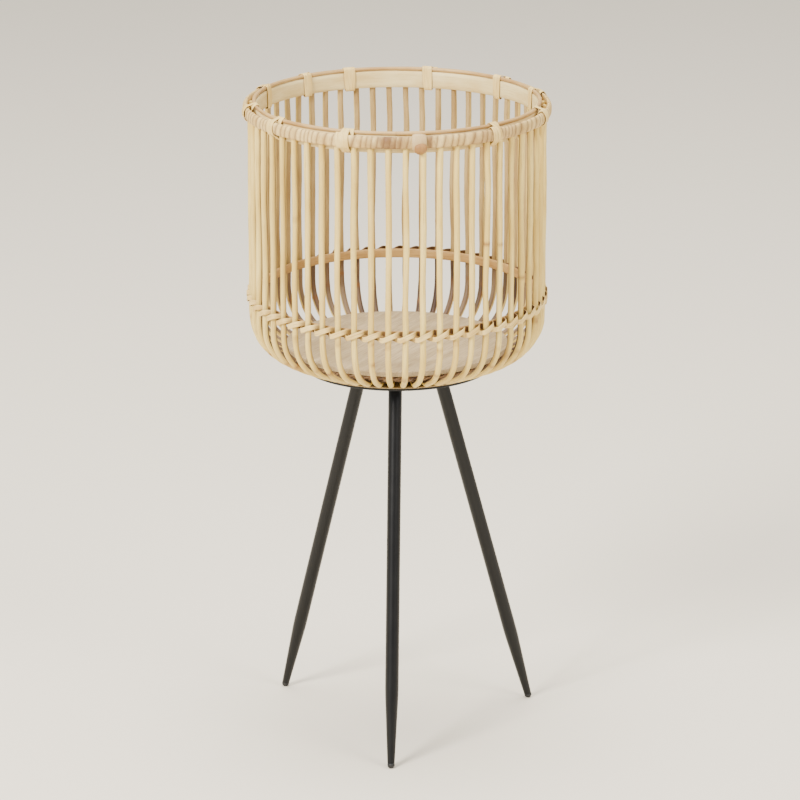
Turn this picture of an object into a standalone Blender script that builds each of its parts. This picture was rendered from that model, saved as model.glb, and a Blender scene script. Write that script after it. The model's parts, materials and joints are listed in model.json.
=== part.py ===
"""Rattan plant stand: a round basket of upright canes on three screw-in steel legs.

The origin is on the floor, under the basket's axis, with +Z up. An angle called a bearing is measured
from the front (-Y), turning towards +X. Every size is in metres.
"""

import math

import bmesh
import bpy
from mathutils import Matrix, Vector

# ---------------------------------------------------------------- driving dimensions
GAP = 0.0003                # air between touching pieces

# upright canes
STAKE_COUNT = 54            # uprights; each cane is folded under the floor and makes two of them
STAKE_RADIUS = 0.0030
WALL_RADIUS = 0.1482        # the canes' centre line in the straight wall
STAKE_TOP = 0.6560
WALL_FOOT = 0.4410          # where the wall starts to turn in
TURN_RADIUS = 0.0450
TURN_ANGLE = math.radians(67.5)
TURN_STEPS = 4
FOLD_RADIUS = 0.0800        # where the two halves of a cane start to turn into each other
FOLD_STEPS = 3

# rim
INNER_BAND_THICKNESS = 0.0030
INNER_BAND_BOTTOM, INNER_BAND_TOP = 0.6417, 0.6590
OUTER_BAND_THICKNESS = 0.0043
OUTER_BAND_BOTTOM, OUTER_BAND_TOP = 0.6478, 0.6600
TOP_CANE_RADIUS, TOP_CANE_CIRCLE = 0.0020, 0.1440
TIE_GAPS = (1, 6, 11, 16, 20, 25, 30, 33, 37, 42, 46, 51)   # the gaps between uprights that hold a tie
TIE_TURNS = 2
LASH_WIDTH, LASH_THICKNESS = 0.0044, 0.0009
LASH_CLEARANCE = 0.0007     # from the rim's pieces to the middle of the strip

# lower hoop, and the pair of strands twined round the wall over it
HOOP_BOTTOM, HOOP_TOP, HOOP_THICKNESS = 0.4550, 0.4644, 0.0022
BAND_LEAN = 0.0045          # how far the hoop and the twining dip at the front, and rise at the back
TWINE_HEIGHT = 0.4599
TWINE_WIDTH, TWINE_THICKNESS = 0.0052, 0.0010
TWINE_RISE = 0.0034         # how far a strand climbs and falls either side of its middle
TWINE_SWAY = 0.0047         # how far it swings out and in, about the canes' own circle
TWINE_STATIONS = 3          # stations from one upright to the next

# base of the basket
PLATE_RADIUS, PLATE_BOTTOM, PLATE_THICKNESS, PLATE_EDGE = 0.0965, 0.3842, 0.0026, 0.0004
BASE_DISC_RADIUS, BASE_DISC_THICKNESS = 0.0980, 0.0012
FLOOR_RADIUS, FLOOR_TOP, FLOOR_THICKNESS, FLOOR_EDGE = 0.1130, 0.4090, 0.0050, 0.0005
CORE_RADIUS = 0.0715
BASE_HOOP_RADIUS = 0.0022
BASE_TWINE_RADIUS = 0.1065  # the circle on which the base's strands cross
BASE_TWINE_WIDTH, BASE_TWINE_THICKNESS = 0.0030, 0.0014
BASE_TWINE_RISE, BASE_TWINE_SWAY = 0.0022, 0.0048
DISC_STEPS = 36

# screws that hold the basket to the plate
SCREW_CIRCLE = 0.0560
SCREW_BEARINGS = (55, 172, 295)      # degrees, about halfway between the legs
SCREW_RADIUS, SCREW_HOLE_RADIUS = 0.0018, 0.0022
SCREW_HEAD_RADIUS, SCREW_HEAD_HEIGHT = 0.0040, 0.0024
SCREW_REACH, SCREW_POINT = 0.0160, 0.0040   # above the plate's underside; length of the point
SCREW_STEPS = 8

# legs
LEG_BEARINGS = (-2.4, 112, 233)     # degrees; the bosses are not evenly spaced
LEG_TILT = math.radians(15.7)
LEG_CIRCLE = 0.0422         # where the legs' axes meet the underside of the plate
LEG_RADIUS, LEG_WALL = 0.0069, 0.0012
TAPER_LENGTH, TIP_RADIUS = 0.0720, 0.00375
BOSS_RADIUS, BOSS_LENGTH = 0.0085, 0.0110
WASHER_RADIUS, WASHER_THICKNESS = 0.0068, 0.0010
STUD_RADIUS, STUD_LENGTH, PLUG_LENGTH = 0.0040, 0.0110, 0.0120
CLEARANCE = 0.00035         # round the stud, the plug and the glide's stem
GLIDE_RADIUS, GLIDE_FLAT_DEPTH = 0.0038, 0.0004
GLIDE_COLLAR, GLIDE_STEM_LENGTH = 0.0013, 0.0090
EDGE = 0.0004               # chamfer on turned steel
TURNED_STEPS = 12

# ---------------------------------------------------------------- derived sizes
STAKE_STEP = 2 * math.pi / STAKE_COUNT
WALL_INSIDE = WALL_RADIUS - STAKE_RADIUS
WALL_OUTSIDE = WALL_RADIUS + STAKE_RADIUS
PLATE_TOP = PLATE_BOTTOM + PLATE_THICKNESS
BASE_DISC_BOTTOM = PLATE_TOP + GAP
BASE_DISC_TOP = BASE_DISC_BOTTOM + BASE_DISC_THICKNESS
STAKE_FOOT = BASE_DISC_TOP + GAP + STAKE_RADIUS     # height of the centre line where a cane lies flat
FLOOR_BOTTOM = FLOOR_TOP - FLOOR_THICKNESS
LEG_SHOULDER = BOSS_LENGTH + WASHER_THICKNESS + 2 * GAP     # along the leg, from the plate to the tube


# ---------------------------------------------------------------- scene, mesh and bearing helpers
def clear_scene():
    for item in list(bpy.data.objects):
        bpy.data.objects.remove(item, do_unlink=True)


def material(name, colour, roughness, metallic=0.0):
    made = bpy.data.materials.new(name)
    made.use_nodes = True
    shader = made.node_tree.nodes["Principled BSDF"]
    shader.inputs["Base Color"].default_value = (*colour, 1.0)
    shader.inputs["Roughness"].default_value = roughness
    shader.inputs["Metallic"].default_value = metallic
    return made


def link(name, data, finish, parent=None):
    item = bpy.data.objects.new(name, data)
    bpy.context.scene.collection.objects.link(item)
    data.materials.append(finish)
    item.parent = parent
    return item


def mesh_from(shape, smooth_angle=math.radians(40)):
    """Turns a bmesh into a mesh whose faces point out, shaded smooth up to the given angle."""
    bmesh.ops.recalc_face_normals(shape, faces=shape.faces)
    mesh = bpy.data.meshes.new("shape")
    shape.to_mesh(mesh)
    shape.free()
    mesh.shade_smooth()
    mesh.set_sharp_from_angle(angle=smooth_angle)
    return mesh


def spun(profile, steps, closed):
    """A bmesh turned about Z from (radius, height) points; a closed profile makes a ring."""
    shape = bmesh.new()
    corners = [shape.verts.new((r, 0.0, z)) for r, z in profile]
    pairs = list(zip(corners, corners[1:]))
    if closed:
        pairs.append((corners[-1], corners[0]))
    edges = [shape.edges.new(pair) for pair in pairs]
    bmesh.ops.spin(
        shape, geom=corners + edges, cent=(0, 0, 0), axis=(0, 0, 1),
        angle=2 * math.pi, steps=steps, use_merge=True,
    )
    bmesh.ops.remove_doubles(shape, verts=shape.verts, dist=1e-6)
    return shape


def turned(name, profile, finish, steps=TURNED_STEPS, closed=False, parent=None):
    return link(name, mesh_from(spun(profile, steps, closed)), finish, parent)


def circle_profile(radius, height, size, sides=6):
    """(radius, height) points of a round ring's section, with a corner at the top."""
    turns = [2 * math.pi * i / sides for i in range(sides)]
    return [(radius + size * math.sin(a), height + size * math.cos(a)) for a in turns]


def outward(bearing):
    """The unit vector that points away from the axis at a bearing."""
    return Vector((math.sin(bearing), -math.cos(bearing), 0.0))


def along(bearing):
    """The unit vector that runs round the axis, towards larger bearings."""
    return Vector((math.cos(bearing), math.sin(bearing), 0.0))


def at(radius, bearing, height):
    point = outward(bearing) * radius
    point.z = height
    return point


def strip(name, stations, finish, closed=False):
    """A flat strip lofted through stations of (centre, half-width vector, half-thickness vector)."""
    shape = bmesh.new()
    loops = []
    for centre, wide, thick in stations:
        corners = (wide + thick, thick - wide, -wide - thick, wide - thick)
        loops.append([shape.verts.new(centre + corner) for corner in corners])
    following = loops[1:] + loops[:1] if closed else loops[1:]
    for here, there in zip(loops, following):
        for i in range(4):
            j = (i + 1) % 4
            shape.faces.new((here[i], here[j], there[j], there[i]))
    if not closed:
        shape.faces.new(loops[0])
        shape.faces.new(reversed(loops[-1]))
    return link(name, mesh_from(shape), finish)


# ---------------------------------------------------------------- upright canes
def slope_end():
    """(radius, height) of the centre line where the turn ends and the straight slope starts."""
    radius = WALL_RADIUS - TURN_RADIUS * (1 - math.cos(TURN_ANGLE))
    return radius, WALL_FOOT - TURN_RADIUS * math.sin(TURN_ANGLE)


def stake_profile():
    """(radius, height) points of an upright's centre line, from its top to where it lies flat."""
    points = [(WALL_RADIUS, STAKE_TOP)]
    for i in range(TURN_STEPS + 1):
        a = TURN_ANGLE * i / TURN_STEPS
        inset = TURN_RADIUS * (1 - math.cos(a))
        points.append((WALL_RADIUS - inset, WALL_FOOT - TURN_RADIUS * math.sin(a)))
    radius, height = slope_end()
    points.append((radius - (height - STAKE_FOOT) * math.tan(TURN_ANGLE), STAKE_FOOT))
    return points


def stake_pair(name, bearing, finish):
    """One cane, folded into a hairpin under the floor, that makes two neighbouring uprights."""
    half = STAKE_STEP / 2
    profile = stake_profile()
    right = [at(r, bearing + half, z) for r, z in profile]
    left = [at(r, bearing - half, z) for r, z in reversed(profile)]
    fold_half = FOLD_RADIUS * math.sin(half)
    middle = at(FOLD_RADIUS * math.cos(half), bearing, STAKE_FOOT)
    fold = []
    for i in range(FOLD_STEPS + 1):
        a = math.pi * i / FOLD_STEPS
        sideways, inwards = fold_half * math.cos(a), fold_half * math.sin(a)
        fold.append(middle + along(bearing) * sideways - outward(bearing) * inwards)
    path = right + fold + left
    curve = bpy.data.curves.new(name, "CURVE")
    curve.dimensions = "3D"
    curve.bevel_depth = STAKE_RADIUS
    curve.bevel_resolution = 1
    curve.use_fill_caps = True
    spline = curve.splines.new("POLY")
    spline.points.add(len(path) - 1)
    for point, place in zip(spline.points, path):
        point.co = (*place, 1.0)
    return link(name, curve, finish)


def build_stakes(finish):
    for i in range(STAKE_COUNT // 2):
        stake_pair(f"stake_pair_{i + 1:02d}", (2 * i + 1) * STAKE_STEP, finish)


# ---------------------------------------------------------------- rim
def build_rim(flat_finish, round_finish):
    outside = WALL_INSIDE - GAP
    inside = outside - INNER_BAND_THICKNESS
    flat = [(inside, INNER_BAND_BOTTOM), (outside, INNER_BAND_BOTTOM),
            (outside, INNER_BAND_TOP), (inside, INNER_BAND_TOP)]
    turned("rim_inner_band", flat, flat_finish, STAKE_COUNT, closed=True)

    back = WALL_OUTSIDE + GAP
    half = (OUTER_BAND_TOP - OUTER_BAND_BOTTOM) / 2
    middle = OUTER_BAND_BOTTOM + half
    fullness = 0.6          # below 1, the half-round section has a flatter face
    steps = 5
    turns = [math.pi * i / steps for i in range(steps + 1)]
    swell = [(back + OUTER_BAND_THICKNESS * abs(math.sin(a)) ** fullness, middle - half * math.cos(a))
             for a in turns]
    turned("rim_outer_band", swell, round_finish, STAKE_COUNT, closed=True)

    height = INNER_BAND_TOP + GAP + TOP_CANE_RADIUS
    ring = circle_profile(TOP_CANE_CIRCLE, height, TOP_CANE_RADIUS)
    turned("rim_top_cane", ring, round_finish, STAKE_COUNT, closed=True)


def tie_section():
    """(radius, height, outward face) of one turn round the rim: from the top, over the outside, and back up."""
    outer_face = WALL_OUTSIDE + GAP + OUTER_BAND_THICKNESS
    outer_back = WALL_OUTSIDE + GAP
    inner_face = WALL_INSIDE - GAP - INNER_BAND_THICKNESS
    top = INNER_BAND_TOP + GAP + 2 * TOP_CANE_RADIUS + LASH_CLEARANCE + 0.0002
    out = LASH_CLEARANCE + 0.0002
    return [
        (TOP_CANE_CIRCLE + 0.0002, top, (0.0, 1.0)),
        (outer_back + 0.0015, OUTER_BAND_TOP + 0.0014, (0.5, 0.87)),
        (outer_face + out, OUTER_BAND_TOP - 0.0022, (0.95, 0.3)),
        (outer_face + out, OUTER_BAND_BOTTOM + 0.0022, (0.95, -0.3)),
        (outer_back + 0.0015, OUTER_BAND_BOTTOM - 0.0014, (0.4, -0.92)),
        (WALL_INSIDE - 0.0002, INNER_BAND_BOTTOM - LASH_CLEARANCE, (0.25, -0.97)),
        (inner_face - out, INNER_BAND_BOTTOM - out, (-0.7, -0.7)),
        (TOP_CANE_CIRCLE - TOP_CANE_RADIUS - 0.0012, INNER_BAND_TOP + 0.0034, (-0.97, 0.24)),
        (TOP_CANE_CIRCLE - 0.0024, top - 0.0002, (-0.66, 0.75)),
    ]


def tie_stations(bearing):
    """One tie: the strip turns up out of the groove, goes round the rim, and turns back into the groove."""
    wide, thick = LASH_WIDTH / 2, LASH_THICKNESS / 2
    pitch = (LASH_WIDTH + 2 * GAP) / WALL_RADIUS
    first = bearing - 1.1 * pitch
    last = first + TIE_TURNS * pitch
    groove = (TOP_CANE_CIRCLE + TOP_CANE_RADIUS + WALL_OUTSIDE) / 2
    lying = STAKE_TOP + GAP + wide

    def corner(place, side):
        """Half of a square corner between lying along the groove and standing up out of it."""
        diagonal = (Vector((0, 0, 1)) - side * along(place)) * wide
        return at(groove, place, lying), diagonal, outward(place) * thick

    def crossing(place, radius, height, face):
        normal = (outward(place) * face[0] + Vector((0, 0, face[1]))).normalized()
        return at(radius, place, height), -along(place) * wide, normal * thick

    stations = [corner(first, 1), crossing(first, groove + 0.0004, OUTER_BAND_TOP + 0.0006, (-0.9, 0.44))]
    section = tie_section()
    for i in range(1, TIE_TURNS * len(section) + 1):
        radius, height, face = section[i % len(section)]
        stations.append(crossing(first + pitch * i / len(section), radius, height, face))
    stations.append(crossing(last, groove - 0.0017, OUTER_BAND_TOP + 0.0031, (0.5, 0.87)))
    stations.append(crossing(last, groove, OUTER_BAND_TOP + 0.0012, (0.95, 0.3)))
    stations.append(corner(last, -1))
    return stations


def groove_stations(start, end):
    """The strip on edge in the groove between the top cane and the outer band, between two ties."""
    wide, thick = LASH_WIDTH / 2, LASH_THICKNESS / 2
    groove = (TOP_CANE_CIRCLE + TOP_CANE_RADIUS + WALL_OUTSIDE) / 2
    count = max(1, round((end - start) / (1.5 * STAKE_STEP)) - 1)
    places = [start + (end - start) * (i + 1) / (count + 1) for i in range(count)]
    return [(at(groove, p, STAKE_TOP + GAP + wide), Vector((0, 0, wide)), outward(p) * thick) for p in places]


def build_lashing(finish):
    """One strip ties the rim together, and lies in the groove on its way from tie to tie."""
    bearings = [gap * STAKE_STEP for gap in TIE_GAPS]
    stations = tie_stations(bearings[0])
    for start, end in zip(bearings, bearings[1:]):
        stations += groove_stations(start, end)
        stations += tie_stations(end)
    strip("rim_lashing", stations, finish)


# ---------------------------------------------------------------- lower hoop and twining
def band_height(height, bearing):
    """The hoop and the twining lean a little: lower at the front, higher at the back."""
    return height - BAND_LEAN * math.cos(bearing)


def twine_strand(name, phase, spine, sway, rise, width, thickness, finish):
    """A strand that passes outside one upright and inside the next, and crosses its partner in each gap.

    spine(bearing) gives a point on the canes' circle, the way out of the wall, and the way up the wall.
    """
    def place(step):
        turn = math.pi * step / TWINE_STATIONS + phase
        middle, out, up = spine(STAKE_STEP * (0.5 + step / TWINE_STATIONS))
        return middle + out * sway * math.cos(turn) + up * rise * math.sin(turn), out

    stations = []
    for step in range(STAKE_COUNT * TWINE_STATIONS):
        centre, out = place(step)
        run = (place(step + 0.5)[0] - place(step - 0.5)[0]).normalized()
        face = (out - run * out.dot(run)).normalized()
        stations.append((centre, run.cross(face) * width / 2, face * thickness / 2))
    strip(name, stations, finish, closed=True)


def build_lower_band(hoop_finish, strand_finish):
    twine_inside = WALL_RADIUS - TWINE_SWAY - TWINE_THICKNESS / 2
    outside = twine_inside - GAP
    inside = outside - HOOP_THICKNESS
    flat = [(inside, HOOP_BOTTOM), (outside, HOOP_BOTTOM), (outside, HOOP_TOP), (inside, HOOP_TOP)]
    hoop = turned("lower_hoop", flat, hoop_finish, STAKE_COUNT, closed=True)
    for vertex in hoop.data.vertices:
        vertex.co.z = band_height(vertex.co.z, math.atan2(vertex.co.x, -vertex.co.y))

    def wall(bearing):
        return at(WALL_RADIUS, bearing, band_height(TWINE_HEIGHT, bearing)), outward(bearing), Vector((0, 0, 1))

    size = (TWINE_SWAY, TWINE_RISE, TWINE_WIDTH, TWINE_THICKNESS)
    twine_strand("twine_strand_a", 0.0, wall, *size, strand_finish)
    twine_strand("twine_strand_b", math.pi, wall, *size, strand_finish)


# ---------------------------------------------------------------- base of the basket
def disc(name, radius, bottom, top, finish, edge=0.0):
    profile = [(0.0, bottom), (radius, bottom), (radius, top), (0.0, top)]
    if edge:
        profile[1:3] = [(radius - edge, bottom), (radius, bottom + edge), (radius, top - edge),
                        (radius - edge, top)]
    return turned(name, profile, finish, DISC_STEPS)


def screw_hole_cutter():
    """Three cylinders that drill the plate, the base disc and the core; not a piece of the stand."""
    overshoot = 0.0010
    low = PLATE_BOTTOM - overshoot
    high = PLATE_BOTTOM + SCREW_REACH + overshoot
    shape = bmesh.new()
    for bearing in SCREW_BEARINGS:
        bmesh.ops.create_cone(
            shape, cap_ends=True, segments=SCREW_STEPS, radius1=SCREW_HOLE_RADIUS,
            radius2=SCREW_HOLE_RADIUS, depth=high - low,
            matrix=Matrix.Translation(at(SCREW_CIRCLE, math.radians(bearing), (low + high) / 2)),
        )
    mesh = bpy.data.meshes.new("screw_holes")
    shape.to_mesh(mesh)
    shape.free()
    cutter = bpy.data.objects.new("screw_holes", mesh)
    bpy.context.scene.collection.objects.link(cutter)
    cutter.hide_render = True
    cutter.display_type = "WIRE"
    return cutter


def build_base(plate_finish, disc_finish, core_finish, hoop_finish):
    cutter = screw_hole_cutter()
    drilled = (
        disc("base_plate", PLATE_RADIUS, PLATE_BOTTOM, PLATE_TOP, plate_finish, PLATE_EDGE),
        disc("base_disc", BASE_DISC_RADIUS, BASE_DISC_BOTTOM, BASE_DISC_TOP, disc_finish),
        disc("base_core", CORE_RADIUS, BASE_DISC_TOP + GAP, FLOOR_BOTTOM - GAP, core_finish),
    )
    for item in drilled:
        cut = item.modifiers.new("screw_holes", "BOOLEAN")
        cut.operation = "DIFFERENCE"
        cut.object = cutter
    disc("floor_disc", FLOOR_RADIUS, FLOOR_BOTTOM, FLOOR_TOP, disc_finish, FLOOR_EDGE)

    # a round hoop lies on the sloping canes, under the edge of the floor
    clear = STAKE_RADIUS + GAP + BASE_HOOP_RADIUS
    radius, height = slope_end()
    radius -= clear * math.cos(TURN_ANGLE)
    height += clear * math.sin(TURN_ANGLE)
    level = FLOOR_BOTTOM - GAP - BASE_HOOP_RADIUS
    ring = circle_profile(radius - (height - level) * math.tan(TURN_ANGLE), level, BASE_HOOP_RADIUS)
    turned("base_hoop", ring, hoop_finish, DISC_STEPS, closed=True)


def build_base_twining(finish):
    """Two strands bind the sloping canes together just inside the hoop."""
    radius, height = slope_end()
    level = height - (radius - BASE_TWINE_RADIUS) / math.tan(TURN_ANGLE)

    def slope(bearing):
        out = outward(bearing) * math.cos(TURN_ANGLE) - Vector((0, 0, math.sin(TURN_ANGLE)))
        up = outward(bearing) * math.sin(TURN_ANGLE) + Vector((0, 0, math.cos(TURN_ANGLE)))
        return at(BASE_TWINE_RADIUS, bearing, level), out, up

    size = (BASE_TWINE_SWAY, BASE_TWINE_RISE, BASE_TWINE_WIDTH, BASE_TWINE_THICKNESS)
    twine_strand("base_strand_a", 0.0, slope, *size, finish)
    twine_strand("base_strand_b", math.pi, slope, *size, finish)


def build_screws(finish):
    head_top = PLATE_BOTTOM - GAP
    head_bottom = head_top - SCREW_HEAD_HEIGHT
    point = PLATE_BOTTOM + SCREW_REACH
    profile = [
        (0.0, head_bottom), (SCREW_HEAD_RADIUS * 0.6, head_bottom), (SCREW_HEAD_RADIUS, head_top),
        (SCREW_RADIUS, head_top), (SCREW_RADIUS, point - SCREW_POINT), (0.0, point),
    ]
    for i, bearing in enumerate(SCREW_BEARINGS):
        screw = turned(f"basket_screw_{i + 1}", profile, finish, SCREW_STEPS)
        screw.location = at(SCREW_CIRCLE, math.radians(bearing), 0.0)


# ---------------------------------------------------------------- legs
def leg_axis(number, bearing):
    """An empty on the leg's axis at the top of its tube, with its +Z up the leg."""
    axis = bpy.data.objects.new(f"leg_axis_{number}", None)
    bpy.context.scene.collection.objects.link(axis)
    down = outward(bearing) * math.sin(LEG_TILT) - Vector((0, 0, math.cos(LEG_TILT)))
    axis.location = at(LEG_CIRCLE, bearing, PLATE_BOTTOM) + down * LEG_SHOULDER
    axis.rotation_euler = (0.0, -LEG_TILT, bearing - math.pi / 2)
    return axis


def cut_level(shape, height, axis_height, drop_above):
    """Slices a shape, in a leg's own frame, along a level plane, and gives the edges of the cut."""
    cut = bmesh.ops.bisect_plane(
        shape, geom=shape.verts[:] + shape.edges[:] + shape.faces[:],
        plane_co=(0, 0, (height - axis_height) / math.cos(LEG_TILT)),
        plane_no=(math.sin(LEG_TILT), 0, math.cos(LEG_TILT)),
        clear_outer=drop_above, clear_inner=not drop_above,
    )
    return [piece for piece in cut["geom_cut"] if isinstance(piece, bmesh.types.BMEdge)]


def build_boss(number, axis, finish):
    """A threaded boss, welded square to the leg under the plate and cut to its level underside."""
    bottom = WASHER_THICKNESS + 2 * GAP
    top = bottom + BOSS_LENGTH + BOSS_RADIUS
    hole = STUD_RADIUS + CLEARANCE
    profile = [(hole, bottom), (BOSS_RADIUS - EDGE, bottom), (BOSS_RADIUS, bottom + EDGE),
               (BOSS_RADIUS, top), (hole, top)]
    shape = spun(profile, TURNED_STEPS, closed=True)
    edges = cut_level(shape, PLATE_BOTTOM - GAP, axis.location.z, drop_above=True)
    bmesh.ops.bridge_loops(shape, edges=edges)
    link(f"leg_boss_{number}", mesh_from(shape), finish, axis)


def build_glide(number, axis, finish, centre):
    """A plastic plug in the tube's tip, whose dome is cut flat where it meets the floor."""
    stem = TIP_RADIUS - LEG_WALL - CLEARANCE
    collar = centre + GLIDE_COLLAR
    profile = [(0.0, collar + GLIDE_STEM_LENGTH), (stem, collar + GLIDE_STEM_LENGTH), (stem, collar),
               (GLIDE_RADIUS, collar)]
    dome_steps = 4
    for i in range(dome_steps):
        a = math.pi / 2 * i / dome_steps
        profile.append((GLIDE_RADIUS * math.cos(a), centre - GLIDE_RADIUS * math.sin(a)))
    profile.append((0.0, centre - GLIDE_RADIUS))
    shape = spun(profile, TURNED_STEPS, closed=False)
    edges = cut_level(shape, 0.0, axis.location.z, drop_above=False)
    bmesh.ops.contextual_create(shape, geom=edges)
    link(f"foot_glide_{number}", mesh_from(shape), finish, axis)


def build_leg(number, bearing, paint, steel, plastic, nylon):
    axis = leg_axis(number, bearing)
    build_boss(number, axis, paint)

    hole, washer_top = STUD_RADIUS + CLEARANCE, GAP + WASHER_THICKNESS
    washer = [(hole, GAP), (WASHER_RADIUS, GAP), (WASHER_RADIUS, washer_top), (hole, washer_top)]
    turned(f"leg_washer_{number}", washer, nylon, closed=True, parent=axis)

    bore = LEG_RADIUS - LEG_WALL
    plug = bore - CLEARANCE
    stud = [(0.0, -PLUG_LENGTH), (plug, -PLUG_LENGTH), (plug, 0.0), (STUD_RADIUS, 0.0),
            (STUD_RADIUS, STUD_LENGTH - EDGE), (STUD_RADIUS - EDGE, STUD_LENGTH), (0.0, STUD_LENGTH)]
    turned(f"leg_stud_{number}", stud, steel, parent=axis)

    glide_height = GLIDE_RADIUS - GLIDE_FLAT_DEPTH
    glide_centre = (glide_height - axis.location.z) / math.cos(LEG_TILT)
    tip = glide_centre + GLIDE_COLLAR + GAP
    knee = tip + TAPER_LENGTH
    tube = [(bore, 0.0), (LEG_RADIUS - EDGE, 0.0), (LEG_RADIUS, -EDGE), (LEG_RADIUS, knee),
            (TIP_RADIUS, tip), (TIP_RADIUS - LEG_WALL, tip), (bore, knee)]
    turned(f"leg_tube_{number}", tube, paint, closed=True, parent=axis)
    build_glide(number, axis, plastic, glide_centre)


def main():
    clear_scene()
    pale = material("rattan_pale", (0.78, 0.63, 0.40), 0.55)
    tan = material("rattan_tan", (0.66, 0.49, 0.30), 0.6)
    brown = material("rattan_brown", (0.38, 0.23, 0.11), 0.65)
    bamboo = material("bamboo_band", (0.70, 0.60, 0.38), 0.5)
    plywood = material("plywood", (0.52, 0.45, 0.34), 0.7)
    timber = material("timber", (0.60, 0.47, 0.30), 0.7)
    paint = material("black_paint", (0.03, 0.03, 0.03), 0.45)
    steel = material("zinc_steel", (0.62, 0.62, 0.60), 0.35, metallic=1.0)
    plastic = material("black_plastic", (0.025, 0.022, 0.02), 0.5)
    nylon = material("black_nylon", (0.04, 0.04, 0.04), 0.4)

    build_stakes(pale)
    build_rim(bamboo, tan)
    build_lashing(pale)
    build_lower_band(tan, pale)
    build_base(paint, plywood, timber, brown)
    build_base_twining(brown)
    build_screws(steel)
    for i, bearing in enumerate(LEG_BEARINGS):
        build_leg(i + 1, math.radians(bearing), paint, steel, plastic, nylon)


main()
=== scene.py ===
import json
import math
import random

import bmesh
import bpy
import numpy as np
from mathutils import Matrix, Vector


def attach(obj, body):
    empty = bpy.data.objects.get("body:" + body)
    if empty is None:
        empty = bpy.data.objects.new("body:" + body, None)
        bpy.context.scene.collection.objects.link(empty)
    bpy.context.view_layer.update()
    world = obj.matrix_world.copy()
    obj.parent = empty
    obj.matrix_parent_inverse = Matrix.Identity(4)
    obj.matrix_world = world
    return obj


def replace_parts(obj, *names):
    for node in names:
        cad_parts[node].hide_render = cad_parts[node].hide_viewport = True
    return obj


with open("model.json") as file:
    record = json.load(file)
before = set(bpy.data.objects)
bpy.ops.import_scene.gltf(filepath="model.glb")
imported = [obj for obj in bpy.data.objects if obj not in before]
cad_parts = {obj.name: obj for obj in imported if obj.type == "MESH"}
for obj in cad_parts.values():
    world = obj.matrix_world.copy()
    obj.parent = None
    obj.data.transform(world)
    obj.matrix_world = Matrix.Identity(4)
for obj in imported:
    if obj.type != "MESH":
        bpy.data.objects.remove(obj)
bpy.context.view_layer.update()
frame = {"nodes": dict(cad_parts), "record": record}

# ---------------------------------------------------------------- sizes, in metres, and angles
# A bearing is measured round the basket's axis from the front (-Y), turning towards +X.
GAP = 0.0003
STAKE_PAIRS = sorted(name for name in frame["nodes"] if name.startswith("stake_pair"))
STAKES = 2 * len(STAKE_PAIRS)
STEP = 2 * math.pi / STAKES
CANE = 0.0030
WALL_FOOT, TURN_RADIUS, TURN_ANGLE = 0.4410, 0.0450, math.radians(67.5)
FOLD_RADIUS = 0.0800
BAND_LEAN = 0.0045          # the hoop and the twining dip this much at the front, and rise at the back
TIE_GAPS = (6, 11, 16, 20, 25, 30, 33, 37, 42, 46, 51)   # gaps between canes, counted from the front
THREE_TURN_GAPS = (30, 51)
TIE_SQUEEZE = (0.9, 1.0, 1.0, 1.0, 1.0, 0.95, 0.7, 0.6, 0.7, 0.95, 1.0, 0.95)   # along tie_section()
KNOT_BEARING = math.radians(8)
LASH_WIDTH, LASH_THICKNESS = 0.0052, 0.0008
BASE_TWINE_RADIUS = 0.1065
BASE_ROW_RADIUS = 0.0012
BASE_ROW_INSET = 0.0016     # from a cane's inner face to the middle of a brown row
BASE_ROWS = (("base_strand_a", 0.0019, 75), ("base_strand_b", -0.0013, 76))   # node, way up the slope, seed
BASE_TOP = 0.4000           # the canes are held fast from here down
TIP_SHRINK = 0.45           # size of a strand's blunt tip against the strand
LEG_RADIUS, LEG_WALL, TIP_RADIUS, TAPER = 0.0069, 0.0012, 0.00375, 0.0720
BOSS_RADIUS, BOSS_LENGTH, BOSS_HOLE = 0.0085, 0.0110, 0.00435
WASHER_RADIUS, WASHER_THICKNESS = 0.0068, 0.0010
STUD_RADIUS, STUD_LENGTH, PLUG_LENGTH = 0.0040, 0.0110, 0.0120
PITCH, THREAD_DEPTH = 0.00125, 0.00035
CLEARANCE = 0.00035         # round the stud's plug and the glide's stem
GLIDE_RADIUS, GLIDE_FLAT, GLIDE_COLLAR, GLIDE_STEM = 0.0038, 0.0004, 0.0013, 0.0090
SCREW_BEARINGS, SCREW_CIRCLE = (55, 172, 295), 0.0560
SCREW_HEAD, SCREW_HEAD_HEIGHT, SCREW_SHANK, SCREW_POINT = 0.0040, 0.0024, 0.0018, 0.0040


def extent(node):
    """(smallest radius, largest radius, bottom, top) of a CAD node about the basket's axis."""
    points = np.array([v.co for v in frame["nodes"][node].data.vertices])
    radii = np.hypot(points[:, 0], points[:, 1])
    return radii.min(), radii.max(), points[:, 2].min(), points[:, 2].max()


STAKE_LOW, STAKE_TOP = extent(STAKE_PAIRS[0])[2:]
WALL_RADIUS = extent(STAKE_PAIRS[0])[1] - CANE
STAKE_FOOT = STAKE_LOW + CANE
WALL_INSIDE = WALL_RADIUS - CANE
INNER_IN, INNER_OUT, INNER_LOW, INNER_HIGH = extent("rim_inner_band")
OUTER_IN, OUTER_OUT, OUTER_LOW, OUTER_HIGH = extent("rim_outer_band")
TOP_IN, TOP_OUT, TOP_LOW, TOP_HIGH = extent("rim_top_cane")
HOOP_IN, HOOP_OUT, HOOP_LOW, HOOP_HIGH = extent("lower_hoop")
TWINE_IN, TWINE_OUT, TWINE_LOW, TWINE_HIGH = extent("twine_strand_a")
HOOP_LOW, TWINE_LOW = HOOP_LOW + BAND_LEAN, TWINE_LOW + BAND_LEAN
HOOP_HIGH, TWINE_HIGH = HOOP_HIGH - BAND_LEAN, TWINE_HIGH - BAND_LEAN
TWINE_WIDTH, TWINE_THICKNESS = 0.0052, 0.0010
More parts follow.
